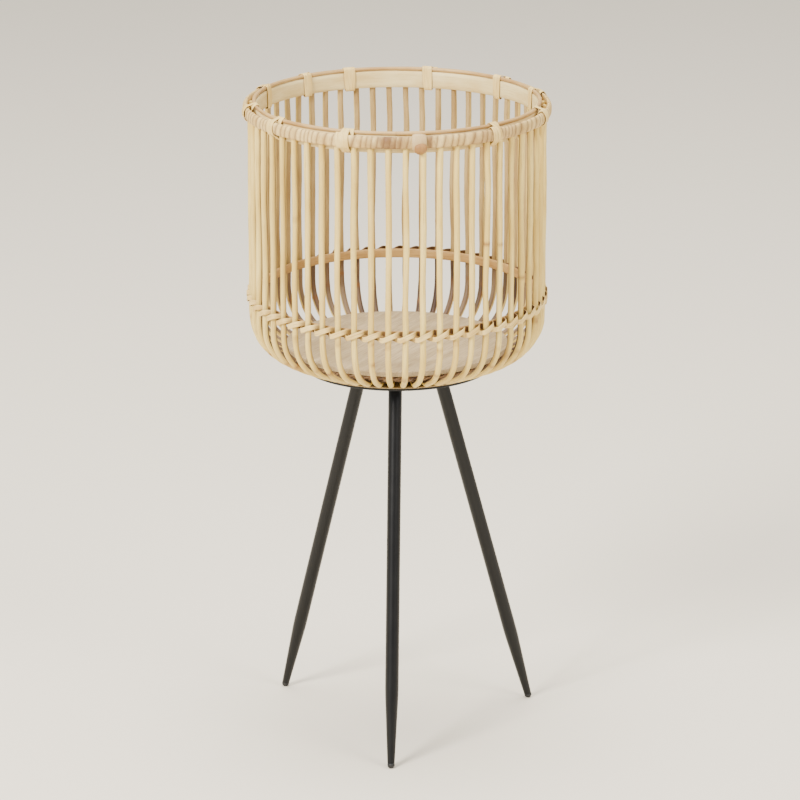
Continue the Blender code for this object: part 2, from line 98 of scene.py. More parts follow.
PLATE_RADIUS, PLATE_LOW, PLATE_TOP = extent("base_plate")[1:]
BASE_TWINE_LEVEL = sum(extent("base_strand_a")[2:]) / 2
FLOOR_RADIUS, FLOOR_LOW, FLOOR_TOP = extent("floor_disc")[1:]


# ---------------------------------------------------------------- vectors
def outward(bearing):
    return Vector((math.sin(bearing), -math.cos(bearing), 0.0))


def along(bearing):
    return Vector((math.cos(bearing), math.sin(bearing), 0.0))


def at(radius, bearing, height):
    point = outward(bearing) * radius
    point.z = height
    return point


def unit(rows):
    return rows / np.linalg.norm(rows, axis=1, keepdims=True)


def wander(seed, waves, size):
    """A smooth random function of one number, in about -1 to 1; size is its typical wavelength."""
    rng = random.Random(seed)
    parts = [(rng.uniform(0.6, 1.6) * 2 * math.pi / size, rng.uniform(0, 2 * math.pi)) for _ in range(waves)]
    return lambda s: sum(np.sin(rate * s + phase) for rate, phase in parts) / math.sqrt(waves)


# ---------------------------------------------------------------- mesh building
def mesh_piece(name, points, quads, material, layers, caps=()):
    """An object from vertices and faces; layers are per-vertex values that the material reads."""
    mesh = bpy.data.meshes.new(name)
    faces = [tuple(int(i) for i in quad) for quad in quads] + [tuple(int(i) for i in cap) for cap in caps]
    mesh.from_pydata([tuple(map(float, p)) for p in points], [], faces)
    for key, values in layers.items():
        values = np.asarray(values, dtype=np.float32)
        kind, slot = ("FLOAT_VECTOR", "vector") if values.ndim == 2 else ("FLOAT", "value")
        mesh.attributes.new(key, kind, "POINT").data.foreach_set(slot, values.ravel())
    mesh.materials.append(material)
    mesh.shade_smooth()
    mesh.validate()
    item = bpy.data.objects.new(name, mesh)
    bpy.context.scene.collection.objects.link(item)
    return item


def sweep(name, centres, hints, section, material, closed=False, seed=0, layers=None, blunt=0.0006):
    """A solid lofted along centres. section[i] holds (across, outward) offsets at centre i, and the
    outward direction leans towards hints[i]. Rounds both ends off over the length blunt."""
    centres, hints, section = np.array(centres), np.array(hints), np.array(section, dtype=float)
    if closed:
        run = unit(np.roll(centres, -1, axis=0) - np.roll(centres, 1, axis=0))
    else:
        run = unit(np.gradient(centres, axis=0))
    face = unit(hints - run * (hints * run).sum(axis=1, keepdims=True))
    across = np.cross(run, face)
    steps = np.linalg.norm(np.diff(centres, axis=0), axis=1)
    length = np.concatenate([[0.0], np.cumsum(steps)])
    if not closed:
        def tips(rows, near, far):
            return np.concatenate([rows[:1] + near, rows, rows[-1:] + far])
        section = np.concatenate([section[:1] * TIP_SHRINK, section, section[-1:] * TIP_SHRINK])
        centres = tips(centres, -run[0] * blunt, run[-1] * blunt)
        face, across = tips(face, 0, 0), tips(across, 0, 0)
        length = np.concatenate([[-blunt], length, [length[-1] + blunt]])
        if layers:
            layers = {k: np.concatenate([v[:1], v, v[-1:]]) for k, v in layers.items()}
    count, sides = section.shape[:2]
    points = centres[:, None] + across[:, None] * section[:, :, :1] + face[:, None] * section[:, :, 1:]
    index = np.arange(count * sides).reshape(count, sides)
    here, there = (index, np.roll(index, -1, axis=0)) if closed else (index[:-1], index[1:])
    quads = np.stack([here, there, np.roll(there, -1, axis=1), np.roll(here, -1, axis=1)], axis=-1)
    size = np.abs(section[:, :, 1]).max(axis=1, keepdims=True)
    lengths = np.broadcast_to(length[:, None], section.shape[:2])
    grain = np.stack([section[:, :, 0], section[:, :, 1], lengths], axis=-1)
    grain = grain + np.array([seed * 0.37, seed * 0.11, seed * 0.73])
    data = {"grain": grain.reshape(-1, 3), "inner": (0.5 - 0.5 * section[:, :, 1] / size).ravel()}
    for key, values in (layers or {}).items():
        values = np.asarray(values, dtype=float)
        if values.ndim == 1:
            values = np.broadcast_to(values[:, None], section.shape[:2])
        data[key] = values.ravel()
    caps = () if closed else (index[0], index[-1][::-1])
    return mesh_piece(name, points.reshape(-1, 3), quads.reshape(-1, 4), material, data, caps)


def round_section(radii, sides=14):
    """Round cross-sections of those radii; the first corner faces outward."""
    turns = np.linspace(0, 2 * math.pi, sides, endpoint=False)
    ring = np.stack([np.sin(turns), np.cos(turns)], axis=1)
    return np.asarray(radii)[:, None, None] * ring[None]


def flat_section(count, width, thickness, crown=0.0):
    """A strip's cross-section with slightly rounded edges, and a crowned outer face."""
    half, t = width / 2, thickness / 2
    face, edge = [-0.93, -0.5, 0.0, 0.5, 0.93], [0.5, -0.5]
    across = np.array(face + [1.0, 1.0] + face[::-1] + [-1.0, -1.0]) * half
    rise = np.array([1] * len(face) + edge + [-1] * len(face) + edge[::-1]) * t
    lift = crown * (1 - (across / half) ** 2)
    ring = np.stack([across, rise + lift], axis=1)[::-1]
    return np.repeat(ring[None], count, axis=0)


def revolve(name, rows, material):
    """A turned piece from rows of points, one for each step round it, that all follow one closed outline.
    Corners that fall together on the axis are welded."""
    steps, corners = rows.shape[:2]
    index = np.arange(steps * corners).reshape(steps, corners)
    beside = np.roll(index, -1, axis=0)
    quads = np.stack([index, beside, np.roll(beside, -1, axis=1), np.roll(index, -1, axis=1)], axis=-1)
    item = mesh_piece(name, rows.reshape(-1, 3), quads.reshape(-1, 4), material, {})
    shape = bmesh.new()
    shape.from_mesh(item.data)
    bmesh.ops.remove_doubles(shape, verts=shape.verts, dist=1e-7)
    bmesh.ops.dissolve_degenerate(shape, edges=shape.edges, dist=1e-7)
    bmesh.ops.recalc_face_normals(shape, faces=shape.faces)
    shape.to_mesh(item.data)
    shape.free()
    item.data.set_sharp_from_angle(angle=math.radians(40))
    return item


def lathe(name, outline, steps, material, axis=None, top=None, bottom=None):
    """A (radius, height) outline turned about Z, or about another axis, given as a matrix. top and bottom
    give, for radii and an angle, heights that no point goes above or below."""
    outline = np.array(outline, dtype=float)
    radius = outline[:, 0]
    rows = []
    for turn in np.linspace(0, 2 * math.pi, steps, endpoint=False):
        height = outline[:, 1]
        if top:
            height = np.minimum(height, top(radius, turn))
        if bottom:
            height = np.maximum(height, bottom(radius, turn))
        rows.append(np.stack([radius * math.cos(turn), radius * math.sin(turn), height], axis=1))
    rows = np.array(rows)
    if axis is not None:
        rows = rows @ axis[:3, :3].T + axis[:3, 3]
    return revolve(name, rows, material)


def finish_piece(item, body, slot, *nodes):
    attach(item, body)
    if nodes:
        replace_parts(item, *nodes)
    return item


# ---------------------------------------------------------------- materials
class Nodes:
    """Builds a material's nodes; each method returns an output socket."""

    def __init__(self, name, roughness=0.5, metallic=0.0, specular=0.5):
        self.material = bpy.data.materials.new(name)
        self.material.use_nodes = True
        self.tree = self.material.node_tree
        self.shader = self.tree.nodes["Principled BSDF"]
        self.shader.inputs["Roughness"].default_value = roughness
        self.shader.inputs["Metallic"].default_value = metallic
        self.shader.inputs["Specular IOR Level"].default_value = specular

    def add(self, kind, inputs=(), out=0, **settings):
        node = self.tree.nodes.new(kind)
        for key, value in settings.items():
            setattr(node, key, value)
        for key, value in dict(inputs).items():
            if isinstance(value, bpy.types.NodeSocket):
                self.tree.links.new(value, node.inputs[key])
            else:
                node.inputs[key].default_value = value
        return node.outputs[out]

    def layer(self, key, out="Fac"):
        return self.add("ShaderNodeAttribute", attribute_name=key, out=out)

    def place(self):
        return self.add("ShaderNodeTexCoord", out="Object")

    def scaled(self, vector, scale):
        return self.add("ShaderNodeMapping", {"Vector": vector, "Scale": scale})

    def noise(self, vector, scale, detail=3.0, roughness=0.55):
        return self.add("ShaderNodeTexNoise",
                        {"Vector": vector, "Scale": scale, "Detail": detail, "Roughness": roughness})

    def math(self, operation, a, b=0.0, c=0.0):
        return self.add("ShaderNodeMath", {0: a, 1: b, 2: c}, operation=operation)

    def smooth(self, value, low, high):
        return self.add("ShaderNodeMapRange", {"Value": value, "From Min": low, "From Max": high},
                        interpolation_type="SMOOTHSTEP")

    def mix(self, factor, a, b):
        node = self.tree.nodes.new("ShaderNodeMix")
        node.data_type = "RGBA"
        for socket, value in ((node.inputs[0], factor), (node.inputs[6], a), (node.inputs[7], b)):
            if isinstance(value, bpy.types.NodeSocket):
                self.tree.links.new(value, socket)
            else:
                socket.default_value = value
        return node.outputs[2]

    def colour(self, socket):
        self.tree.links.new(socket, self.shader.inputs["Base Color"])

    def rough(self, socket, low, high):
        value = self.add("ShaderNodeMapRange", {"Value": socket, "To Min": low, "To Max": high})
        self.tree.links.new(value, self.shader.inputs["Roughness"])

    def bump(self, height, strength, distance):
        normal = self.add("ShaderNodeBump", {"Height": height, "Strength": strength, "Distance": distance})
        self.tree.links.new(normal, self.shader.inputs["Normal"])


def rgb(red, green, blue):
    """Linear colour, with alpha, from 0-255 display values."""
    def linear(value):
        value /= 255
        return value / 12.92 if value <= 0.04045 else ((value + 0.055) / 1.055) ** 2.4
    return (linear(red), linear(green), linear(blue), 1.0)


def cane_material():
    """Peeled cane: cream outside, tan painted shade towards the basket's inside, and bark left on low down
    inside.
    """
    n = Nodes("peeled_cane", specular=0.35)
    grain = n.layer("grain", "Vector")
    fibres = n.noise(n.scaled(grain, (1.0, 1.0, 0.02)), 1500.0, 4.0)
    clouds = n.noise(n.scaled(grain, (1.0, 1.0, 0.25)), 60.0, 3.0)
    broad = n.noise(n.scaled(grain, (1.0, 1.0, 0.6)), 14.0, 2.0)
    tone = n.layer("tone")
    pale = n.mix(n.smooth(clouds, 0.3, 0.7), rgb(234, 208, 126), rgb(216, 184, 98))
    pale = n.mix(n.smooth(fibres, 0.5, 0.8), pale, rgb(172, 138, 66))
    pale = n.mix(n.math("MULTIPLY", tone, 0.35), pale, rgb(196, 160, 80))
    # tan: painted shade for the side of each cane that faces into the basket
    tan = n.mix(n.smooth(clouds, 0.35, 0.7), rgb(182, 154, 98), rgb(156, 126, 74))
    tan = n.mix(n.smooth(fibres, 0.5, 0.8), tan, rgb(140, 102, 56))
    bark = n.mix(n.smooth(clouds, 0.4, 0.62), rgb(74, 54, 40), rgb(120, 94, 70))
    bark = n.mix(n.smooth(fibres, 0.45, 0.75), bark, rgb(54, 38, 28))
    grey = n.mix(n.smooth(clouds, 0.4, 0.62), rgb(140, 116, 86), rgb(112, 88, 62))
    side = n.math("ADD", n.layer("inner"), n.math("MULTIPLY", n.math("SUBTRACT", broad, 0.5), 0.35))
    # the inward side gets the tan painted shade higher up, and bark lower down
    inside = n.smooth(side, 0.60, 0.76)
    low = n.math("ADD", n.layer("low"), n.math("MULTIPLY", n.math("SUBTRACT", clouds, 0.5), 0.3))
    inner = n.mix(n.smooth(low, 0.35, 0.65), tan, n.mix(n.smooth(tone, 0.35, 0.65), bark, grey))
    skin = n.mix(inside, pale, inner)
    marks = n.math("MULTIPLY", n.layer("node"), n.smooth(clouds, 0.35, 0.6))
    skin = n.mix(marks, skin, rgb(132, 84, 40))
    n.colour(skin)
    n.rough(fibres, 0.42, 0.66)
    n.bump(n.math("ADD", fibres, n.math("MULTIPLY", clouds, 0.6)), 0.35, 0.0003)
    return n.material


def strip_material(name, pale, mid, dark, painted_shade_back=None, shine=0.35, groove=None):
    """Split cane or bamboo strip, with grain along its length and, if given, a back darkened by painted
    shade.
    """
    n = Nodes(name, specular=shine)
    grain = n.layer("grain", "Vector")
    fibres = n.noise(n.scaled(grain, (1.0, 1.0, 0.03)), 1300.0, 4.0)
    clouds = n.noise(n.scaled(grain, (1.0, 1.0, 0.3)), 70.0, 3.0)
    skin = n.mix(n.smooth(clouds, 0.3, 0.7), pale, mid)
    skin = n.mix(n.smooth(fibres, 0.52, 0.8), skin, dark)
    # painted shade: if given, a darker colour on the side of the strip that faces in
    if painted_shade_back:
        skin = n.mix(n.smooth(n.layer("inner"), 0.45, 0.75), skin, painted_shade_back)
    # the shade layer mixes in the groove colour, or the dark one; on the twining this is painted shade
    skin = n.mix(n.layer("shade"), skin, groove or dark)
    n.colour(skin)
    n.rough(fibres, 0.4, 0.65)
    n.bump(n.math("ADD", fibres, clouds), 0.35, 0.0003)
    return n.material


def wrap_material():
    """The rim's wound strip: fibres run across the band, and each turn's edge is darkened with painted
    shade.
    """
    n = Nodes("rim_wrap", specular=0.35)
    grain = n.layer("grain", "Vector")
    fibres = n.noise(n.scaled(grain, (0.12, 0.12, 1.0)), 1500.0, 4.0)
    clouds = n.noise(n.scaled(grain, (0.6, 0.6, 1.0)), 80.0, 3.0)
    broad = n.noise(n.scaled(grain, (1.0, 1.0, 1.0)), 9.0, 2.0)
    skin = n.mix(n.smooth(clouds, 0.3, 0.7), rgb(226, 196, 130), rgb(202, 168, 100))
    skin = n.mix(n.smooth(fibres, 0.5, 0.8), skin, rgb(168, 124, 66))
    skin = n.mix(n.math("MULTIPLY", n.layer("stain"), n.smooth(clouds, 0.25, 0.65)), skin, rgb(122, 88, 52))
    skin = n.mix(n.math("MULTIPLY", n.smooth(broad, 0.55, 0.7), 0.45), skin, rgb(184, 144, 88))
    # painted shade in the grooves between the turns
    skin = n.mix(n.math("MULTIPLY", n.layer("shade"), 0.8), skin, rgb(104, 70, 36))
    n.colour(skin)
    n.rough(fibres, 0.45, 0.7)
    n.bump(n.math("ADD", fibres, clouds), 0.4, 0.0003)
    return n.material


def plywood_material():
    """Thin grey-beige plywood, with fine grain running one way across the disc."""
    n = Nodes("plywood_floor", roughness=0.75, specular=0.2)
    place = n.add("ShaderNodeMapping", {"Vector": n.place(), "Rotation": (0, 0, math.radians(28))})
    fine = n.noise(n.scaled(place, (1.0, 0.05, 1.0)), 900.0, 5.0)
    bands = n.noise(n.scaled(place, (1.0, 0.10, 1.0)), 90.0, 4.0)
    spots = n.noise(place, 400.0, 3.0)
    wood = n.mix(n.smooth(bands, 0.3, 0.7), rgb(188, 166, 128), rgb(164, 142, 104))
    wood = n.mix(n.math("MULTIPLY", n.smooth(fine, 0.42, 0.75), 0.7), wood, rgb(124, 100, 68))
    wood = n.mix(n.math("MULTIPLY", n.smooth(spots, 0.62, 0.75), 0.4), wood, rgb(120, 100, 74))
    n.colour(wood)
    n.rough(fine, 0.65, 0.85)
    n.bump(fine, 0.3, 0.0003)
    return n.material


def timber_material():
    """Sawn softwood with growth rings."""
    n = Nodes("sawn_timber", roughness=0.75, specular=0.2)
    place = n.scaled(n.place(), (1.0, 0.08, 1.0))
    rings = n.noise(place, 120.0, 3.0)
    fine = n.noise(place, 900.0, 4.0)
    wood = n.mix(n.smooth(rings, 0.35, 0.65), rgb(214, 184, 136), rgb(184, 146, 98))
    n.colour(n.mix(n.math("MULTIPLY", fine, 0.4), wood, rgb(150, 114, 74)))
    n.rough(fine, 0.65, 0.85)
    n.bump(fine, 0.3, 0.0003)
    return n.material


def paint_material():
    """Satin black powder coat, with a fine orange-peel and a little dust."""
    n = Nodes("black_powder_coat", roughness=0.42, specular=0.3)
    peel = n.noise(n.place(), 1400.0, 2.0)
    dust = n.noise(n.place(), 45.0, 4.0)
    n.colour(n.mix(n.smooth(dust, 0.4, 0.8), rgb(4, 4, 5), rgb(8, 8, 8)))
    n.rough(dust, 0.30, 0.42)
    n.bump(peel, 0.12, 0.0002)
    return n.material


def steel_material():
    """Zinc-plated steel, with the fine turned lines of machining."""
    n = Nodes("zinc_plate", roughness=0.35, metallic=1.0)
    lines = n.noise(n.scaled(n.place(), (1.0, 1.0, 8.0)), 900.0, 2.0)
    n.colour(n.mix(lines, rgb(196, 196, 192), rgb(160, 160, 158)))
    n.rough(lines, 0.28, 0.45)
    n.bump(lines, 0.15, 0.0001)
    return n.material


def plastic_material(name, tone):
    """Moulded black plastic, scuffed a little."""
    n = Nodes(name, roughness=0.5, specular=0.4)
    scuff = n.noise(n.place(), 700.0, 4.0)
    n.colour(n.mix(n.smooth(scuff, 0.5, 0.75), rgb(tone, tone, tone), rgb(tone + 22, tone + 20, tone + 18)))
    n.rough(scuff, 0.42, 0.65)
    n.bump(scuff, 0.2, 0.0002)
    return n.material


def floor_material():
    n = Nodes("studio_floor", roughness=0.9, specular=0.1)
    mottle = n.noise(n.place(), 3.0, 2.0)
    n.colour(n.mix(mottle, rgb(236, 226, 206), rgb(234, 224, 204)))
    return n.material


# ---------------------------------------------------------------- upright canes
def cane_profile():
    """(radius, height) points, about 3 mm apart, down one upright's centre line to the fold."""
    points = [(WALL_RADIUS, z) for z in np.linspace(STAKE_TOP, WALL_FOOT, 64)]
    for a in np.linspace(0, TURN_ANGLE, 15)[1:]:
        inset = TURN_RADIUS * (1 - math.cos(a))
        points.append((WALL_RADIUS - inset, WALL_FOOT - TURN_RADIUS * math.sin(a)))
    radius, height = points[-1]
    landing = radius - (height - STAKE_FOOT) * math.tan(TURN_ANGLE)
    for t in np.linspace(0, 1, 12)[1:]:
        points.append((radius + (landing - radius) * t, height + (STAKE_FOOT - height) * t))
    for r in np.linspace(landing, FOLD_RADIUS, 6)[1:]:
        points.append((r, STAKE_FOOT))
    profile = np.array(points)
    for _ in range(3):
        profile[1:-1] = (profile[:-2] + 2 * profile[1:-1] + profile[2:]) / 4
    return profile


def held(height):
    """0 where the rim, the twining or the base holds a cane in place, up to 1 where it is free."""
    free = np.ones_like(height)
    for low, high in ((INNER_LOW, STAKE_TOP), (TWINE_LOW, TWINE_HIGH), (STAKE_FOOT, BASE_TOP)):
        middle, half = (low + high) / 2, (high - low) / 2
        free *= np.clip((np.abs(height - middle) - half) / 0.035, 0, 1)
    return free


def cane_side(rng, profile, middle, side):
    """Half a hairpin: its centre line and, along it, its hints, sizes, bark and node marks."""
    drift, lean = wander(rng.random(), 3, 0.26), wander(rng.random(), 3, 0.18)
    swell, fine = wander(rng.random(), 3, 0.10), wander(rng.random(), 4, 0.03)
    rows = profile if side == 1 else profile[::-1]
    height = rows[:, 1]
    free = held(height)
    above = np.clip((height - TWINE_HIGH) / (INNER_LOW - TWINE_HIGH), 0, 1)
    tilt = rng.uniform(-0.0010, 0.0010) * above * (1 - 0.6 * above)
    shift = drift(height) * 0.0008 * free + tilt
    radius = rows[:, 0] + lean(height) * 0.0004 * free
    bearing = middle + side * STEP / 2 + shift / WALL_RADIUS
    thick = 1 + rng.uniform(-0.05, 0.08) * free
    size = CANE * (1 + 0.035 * swell(height) + 0.015 * fine(height)) * thick
    mark = np.zeros_like(height)
    nodes = [rng.uniform(0.47, 0.64) for _ in range(rng.choice((0, 0, 1)))]
    nodes += [rng.uniform(0.402, 0.45) for _ in range(rng.choice((0, 1, 1, 2)))]
    for z in nodes:
        spot = np.exp(-((height - z) / 0.0020) ** 2)
        mark = np.maximum(mark, spot * rng.uniform(0.5, 1.0))
        size = size * (1 + 0.05 * spot)
    line = np.stack([np.sin(bearing) * radius, -np.cos(bearing) * radius, height], axis=1)
    hints = np.stack([np.sin(bearing), -np.cos(bearing), -np.ones_like(height)], axis=1)
    low = np.clip((TWINE_HIGH + 0.004 - height) / 0.012, 0, 1)
    tone = np.full_like(height, rng.random())
    return line, hints, size, low, mark, tone


def cane_pair(number, node, material):
    """One cane folded into a hairpin, slightly wavy, of uneven thickness and with a few nodes."""
    rng = random.Random(100 + number)
    profile = cane_profile()
    middle = (2 * number + 1) * STEP
    halves = [cane_side(rng, profile, middle, side) for side in (1, -1)]
    fold_half = FOLD_RADIUS * math.sin(STEP / 2)
    turn = np.linspace(0, math.pi, 9)[1:-1]
    centre = np.array(at(FOLD_RADIUS * math.cos(STEP / 2), middle, STAKE_FOOT))
    fold = (centre + np.outer(np.cos(turn) * fold_half, along(middle))
            - np.outer(np.sin(turn) * fold_half, outward(middle)))
    hint = np.repeat(np.array(outward(middle) - Vector((0, 0, 1)))[None], len(turn), axis=0)
    one = np.ones(len(turn))
    bend = (fold, hint, CANE * one, one, 0 * one, 0.5 * one)
    line, hints, size, low, mark, tone = (np.concatenate(rows) for rows in zip(halves[0], bend, halves[1]))
    piece = sweep(f"cane_pair_{number + 1:02d}", line, hints, round_section(size), material, seed=number,
                  layers={"low": low, "node": mark, "tone": tone})
    finish_piece(piece, "basket", "rattan_pale", node)


# ---------------------------------------------------------------- rim
def ring(name, radius, height, section, material, count, seed, layers=None, sway=0.0, lift=0.0, lean=0.0):
    """A closed ring with section[i] at each of count bearings, swaying in and out and up and down a
    little."""
    turns = np.linspace(0, 2 * math.pi, count, endpoint=False)
    rng = random.Random(seed)
    waves = [(k, rng.uniform(0, 2 * math.pi), rng.uniform(0, 2 * math.pi)) for k in (2, 3, 5)]
    radii = radius + sway * sum(np.sin(k * turns + a) for k, a, _ in waves) / 3
    heights = height - lean * np.cos(turns) + lift * sum(np.sin(k * turns + b) for k, _, b in waves) / 3
    centres = np.stack([np.sin(turns) * radii, -np.cos(turns) * radii, heights], axis=1)
    hints = np.stack([np.sin(turns), -np.cos(turns), np.zeros_like(turns)], axis=1)
    return sweep(name, centres, hints, section, material, closed=True, seed=seed, layers=layers)


def near_bearing(turns, bearing, spread):
    away = np.abs((turns - bearing + math.pi) % (2 * math.pi) - math.pi)
    return np.exp(-(away / spread) ** 2)


def build_outer_band(material):
    """The outer band: a strip wound round a half-round core, turn against turn."""
    wraps, per_wrap, corners = 140, 10, 16
    count = wraps * per_wrap
    turns = np.linspace(0, 2 * math.pi, count, endpoint=False)
    bend = np.linspace(0, math.pi, corners)
    depth, half = OUTER_OUT - OUTER_IN, (OUTER_HIGH - OUTER_LOW) / 2
    uneven = wander(5, 4, 0.5)
    section = np.zeros((count, corners + 2, 2))
    shade = np.zeros((count, corners + 2))
    for i, turn in enumerate(turns):
        slant = 0.16 * np.cos(bend)
        crowd = 0.9 * math.sin(9 * turn) + 0.7 * math.sin(14 * turn + 2) + 0.4 * math.sin(31 * turn)
        phase = (turn * wraps / (2 * math.pi) + slant + 0.5 * crowd) % 1.0
        ridge = np.sin(math.pi * phase) ** 0.45
        grow = 1 + 0.03 * uneven(turn)
        out = depth * grow * np.sin(bend) ** 0.6 - 0.00075 * (1 - ridge)
        up = half * np.cos(bend) * (1 + 0.03 * (ridge - 0.6))
        section[i, :corners, 0] = up
        section[i, :corners, 1] = np.maximum(out, 0.0)
        section[i, corners] = (-half * 0.97, 0.0)
        section[i, corners + 1] = (half * 0.97, 0.0)
        section[i, 0, 1] = section[i, corners - 1, 1] = depth * 0.12
        # painted shade, strongest in the groove between turns
        shade[i, :corners] = np.minimum(1.0, 1.3 * (1 - ridge))
    stain = sum(depth * near_bearing(turns, math.radians(degrees), spread)
                for degrees, spread, depth in ((-3, 0.12, 1.0), (12, 0.08, 0.9), (38, 0.2, 0.5)))
    stain = np.clip(stain, 0, 1)
    piece = ring("rim_wrap", OUTER_IN, (OUTER_LOW + OUTER_HIGH) / 2, section, material, count, 3,
                 layers={"shade": shade, "stain": stain})
    finish_piece(piece, "basket", "rattan_tan", "rim_outer_band")


def build_inner_band(material):
    count = 360
    section = flat_section(count, INNER_HIGH - INNER_LOW, INNER_OUT - INNER_IN)
    piece = ring("rim_band_inside", (INNER_IN + INNER_OUT) / 2, (INNER_LOW + INNER_HIGH) / 2, section,
                 material, count, 11, layers={"shade": np.zeros(count)}, lift=0.0002)
    finish_piece(piece, "basket", "bamboo_band", "rim_inner_band")


def build_top_cane(material):
    count = 540
    turns = np.linspace(0, 2 * math.pi, count, endpoint=False)
    size = (TOP_HIGH - TOP_LOW) / 2 * (1 + 0.05 * np.sin(7 * turns + 1) + 0.04 * np.sin(17 * turns))
    piece = ring("rim_cane", (TOP_IN + TOP_OUT) / 2, (TOP_LOW + TOP_HIGH) / 2, round_section(size), material,
                 count, 17, layers={"shade": np.zeros(count)}, sway=0.0003, lift=0.0002)
    finish_piece(piece, "basket", "rattan_tan", "rim_top_cane")


def tie_section():
    """(radius, height) of one turn of lashing round the rim: from the top, over the outside, and back up."""
    skin = 0.0008
    middle = (TOP_IN + TOP_OUT) / 2
    return [
        (middle + 0.0002, TOP_HIGH + skin), (OUTER_IN + 0.0004, OUTER_HIGH + 0.0018),
        (OUTER_OUT - 0.0012, OUTER_HIGH - 0.0001), (OUTER_OUT + skin, OUTER_HIGH - 0.0038),
        (OUTER_OUT + skin, OUTER_LOW + 0.0038), (OUTER_OUT - 0.0012, OUTER_LOW - 0.0001),
        (OUTER_IN - 0.0004, OUTER_LOW - 0.0016), (WALL_INSIDE - 0.0002, INNER_LOW - skin),
        (INNER_IN - skin, INNER_LOW - skin), (INNER_IN - skin - 0.0002, (INNER_LOW + INNER_HIGH) / 2),
        (TOP_IN - skin, TOP_LOW + 0.0025), (TOP_IN + 0.0008, TOP_HIGH + 0.0002),
    ]


def curve_through(points, per_span):
    """Points along a smooth curve through the given ones."""
    p = np.array(points, dtype=float)
    p = np.concatenate([2 * p[:1] - p[1:2], p, 2 * p[-1:] - p[-2:-1]])
    t = np.linspace(0, 1, per_span, endpoint=False)[:, None]
    spans = []
    for a, b, c, d in zip(p, p[1:], p[2:], p[3:]):
        spans.append(0.5 * (2 * b + (c - a) * t + (2 * a - 5 * b + 4 * c - d) * t ** 2
                            + (3 * b - a - 3 * c + d) * t ** 3))
    return np.concatenate(spans + [p[-2:-1]])


def build_lashing(material):
    """The rim's ties: a strip goes two or three times round the rim at each, out of the groove and back."""
    section = tie_section()
    groove = (TOP_OUT + OUTER_IN) / 2
    centre_r, centre_z = (INNER_IN + OUTER_OUT) / 2, (INNER_LOW + TOP_HIGH) / 2
    first_piece = None
    for number, gap in enumerate(TIE_GAPS):
        rng = random.Random(40 + number)
        turns = 3 if gap in THREE_TURN_GAPS else 2
        width = LASH_WIDTH * (1.0 if turns == 2 else 0.86) * rng.uniform(0.95, 1.05)
        pitch = width * rng.uniform(0.90, 1.02) / WALL_RADIUS
        first = gap * STEP - pitch * turns / 2 + rng.uniform(-0.002, 0.002)
        route = [at(groove, first, OUTER_HIGH - 0.004), at(groove + 0.0003, first, OUTER_HIGH - 0.0005)]
        total = turns * len(section)
        for i in range(1, total + 1):
            radius, height = section[i % len(section)]
            layer = 0.0002 * rng.random()
            squeeze = TIE_SQUEEZE[i % len(section)]
            place = gap * STEP + (first + pitch * i / len(section) - gap * STEP) * squeeze
            route.append(at(radius + layer * math.copysign(1, radius - centre_r), place, height))
        last = first + pitch * turns
        route += [at(groove - 0.0010, last, OUTER_HIGH + 0.0012), at(groove, last, OUTER_HIGH - 0.004)]
        centres = curve_through(route, 5)
        radial = np.hypot(centres[:, 0], centres[:, 1])
        out = unit(centres * np.array([1, 1, 0]))
        hints = out * (radial - centre_r)[:, None] + np.outer(centres[:, 2] - centre_z, (0, 0, 1))
        strip = flat_section(len(centres), width, LASH_THICKNESS)
        piece = sweep(f"rim_tie_{number + 1:02d}", centres, hints, strip, material, seed=60 + number,
                      layers={"shade": np.zeros(len(centres))})
        finish_piece(piece, "basket", "lashing_strip")
        first_piece = first_piece or piece
    return first_piece


def knot_strip(name, route, widths, thickness, material, shade, seed):
    """A broad ribbed strip through (radius, bearing, height) points, with widths spread along it."""
    centres = curve_through([at(*place) for place in route], 8)
    t = np.linspace(0, 1, len(centres))
    section = flat_section(len(centres), 1.0, thickness, crown=thickness * 0.7)
    section[:, :, 0] *= np.interp(t, np.linspace(0, 1, len(widths)), widths)[:, None]
    ridge = 0.00020 * np.sin(section[:, :, 0] / 0.00040)
    section[:, :, 1] += np.where(section[:, :, 1] > 0, ridge, 0)
    out = unit(centres * np.array([1, 1, 0]))
    radial = np.hypot(centres[:, 0], centres[:, 1])
    hints = out * (radial - WALL_RADIUS + 0.001)[:, None] + np.outer(centres[:, 2] - OUTER_LOW, (0, 0, 1))
    piece = sweep(name, centres, hints, section, material, seed=seed, layers={"shade": shade + 0 * t})
    finish_piece(piece, "basket", "lashing_strip")


def build_knot(band_material, knuckle_material):
    """Where the rim's winding starts: a broad strip over the band, and a knuckle tucked in below it."""
    b, skin = KNOT_BEARING, 0.0014
    over = [
        (TOP_OUT - 0.0004, b, OUTER_HIGH - 0.0020), (OUTER_IN + 0.0006, b, OUTER_HIGH + 0.0008),
        (OUTER_OUT - 0.0010, b, OUTER_HIGH + 0.0002), (OUTER_OUT + skin, b, OUTER_HIGH - 0.0040),
        (OUTER_OUT + skin, b, OUTER_LOW + 0.0040), (OUTER_OUT - 0.0006, b, OUTER_LOW + 0.0006),
        (OUTER_IN + 0.0008, b, OUTER_LOW - 0.0012),
    ]
    widths = (0.0110, 0.0130, 0.0142, 0.0146, 0.0146, 0.0136, 0.0120)
    knot_strip("rim_knot_band", over, widths, 0.0016, band_material, 0.25, 90)
    b += 0.0012 / WALL_RADIUS
    knuckle = [
        (OUTER_OUT + skin - 0.0004, b, OUTER_LOW + 0.0046),
        (OUTER_OUT + skin + 0.0010, b, OUTER_LOW + 0.0028),
        (OUTER_OUT + skin + 0.0006, b, OUTER_LOW + 0.0004), (OUTER_OUT - 0.0006, b, OUTER_LOW - 0.0016),
        (OUTER_IN + 0.0008, b, OUTER_LOW - 0.0030),
    ]
    widths = (0.0100, 0.0122, 0.0124, 0.0116, 0.0096)
    knot_strip("rim_knot", knuckle, widths, 0.0028, knuckle_material, 0.3, 91)


